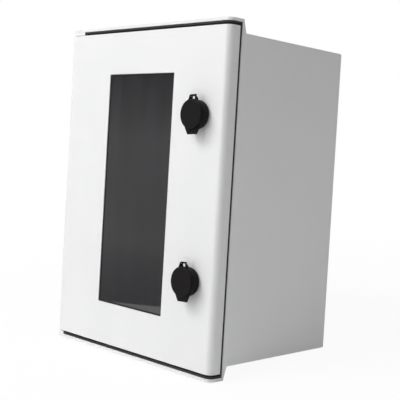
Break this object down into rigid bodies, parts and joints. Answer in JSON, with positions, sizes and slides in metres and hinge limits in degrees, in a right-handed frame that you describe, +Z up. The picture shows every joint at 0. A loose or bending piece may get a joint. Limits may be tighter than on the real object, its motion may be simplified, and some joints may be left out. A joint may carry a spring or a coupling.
{
  "type": "electrical enclosure",
  "caption": "Wall-mounting electrical enclosure with a hinged, windowed door, quarter-turn cam locks under flip-up dust covers, and an inner mounting plate.",
  "frame": {"origin": "centre of the flat back face that lies against the wall", "axes": "+Y into the wall, +Z up, +X to the right of someone who faces the door"},
  "size_m": [0.3, 0.221, 0.412],
  "materials": {
    "light_grey_plastic": "satin, finely eroded mould surface",
    "black_plastic": "satin moulded",
    "black_rubber": "matt",
    "smoked_pane": "polished, smoked transparent",
    "zinc_plate": "galvanised sheet",
    "zinc_cast": "die cast",
    "steel": "bright zinc plated",
    "brass": "turned"
  },
  "bodies": {
    "cabinet": {"enclosure_body": "light_grey_plastic", "door_gasket": "black_rubber", "hinge_pin_top": "steel", "hinge_pin_bottom": "steel", "mounting_plate": "zinc_plate", "plate_insert_1": "brass", "plate_insert_2": "brass", "plate_insert_3": "brass", "plate_insert_4": "brass", "plate_washer_1": "steel", "plate_washer_2": "steel", "plate_washer_3": "steel", "plate_washer_4": "steel", "plate_screw_1": "steel", "plate_screw_2": "steel", "plate_screw_3": "steel", "plate_screw_4": "steel", "wall_hole_plug_1": "black_plastic", "wall_hole_plug_2": "black_plastic", "wall_hole_plug_3": "black_plastic", "wall_hole_plug_4": "black_plastic", "upper_lock_keeper": "zinc_plate", "lower_lock_keeper": "zinc_plate", "upper_keeper_screw_1": "steel", "upper_keeper_screw_2": "steel", "lower_keeper_screw_1": "steel", "lower_keeper_screw_2": "steel"},
    "door": {"door": "light_grey_plastic", "window_pane": "smoked_pane", "window_seal": "black_rubber", "window_frame": "black_plastic", "window_screw_1": "steel", "window_screw_2": "steel", "window_screw_3": "steel", "window_screw_4": "steel", "window_screw_5": "steel", "window_screw_6": "steel", "window_screw_7": "steel", "window_screw_8": "steel", "hinge_bush_top": "black_plastic", "hinge_bush_bottom": "black_plastic", "upper_lock_base": "black_plastic", "upper_cover_pin": "steel", "upper_lock_nut": "black_plastic", "upper_lock_seal": "black_rubber", "lower_lock_base": "black_plastic", "lower_cover_pin": "steel", "lower_lock_nut": "black_plastic", "lower_lock_seal": "black_rubber"},
    "upper_core": {"upper_lock_core": "zinc_cast", "upper_lock_cam": "zinc_plate", "upper_cam_screw": "steel"},
    "lower_core": {"lower_lock_core": "zinc_cast", "lower_lock_cam": "zinc_plate", "lower_cam_screw": "steel"},
    "upper_cover": {"upper_lock_cover": "black_plastic"},
    "lower_cover": {"lower_lock_cover": "black_plastic"}
  },
  "joints": [
    {"name": "door_swing", "type": "hinge", "parent": "cabinet", "child": "door", "pos_m": [-0.1415, -0.1975, 0], "axis": [0, 0, -1], "range_deg": [0, 180]},
    {"name": "upper_cam_turn", "type": "hinge", "parent": "door", "child": "upper_core", "pos_m": [0.1095, -0.206, 0.096], "axis": [0, 1, 0], "range_deg": [0, 90]},
    {"name": "lower_cam_turn", "type": "hinge", "parent": "door", "child": "lower_core", "pos_m": [0.1095, -0.206, -0.096], "axis": [0, 1, 0], "range_deg": [0, 90]},
    {"name": "upper_cover_flip", "type": "hinge", "parent": "door", "child": "upper_cover", "pos_m": [0.10836, -0.21645, 0.11777], "axis": [-0.9986, 0, -0.0523], "range_deg": [0, 120]},
    {"name": "lower_cover_flip", "type": "hinge", "parent": "door", "child": "lower_cover", "pos_m": [0.10836, -0.21645, -0.07423], "axis": [-0.9986, 0, -0.0523], "range_deg": [0, 120]}
  ]
}
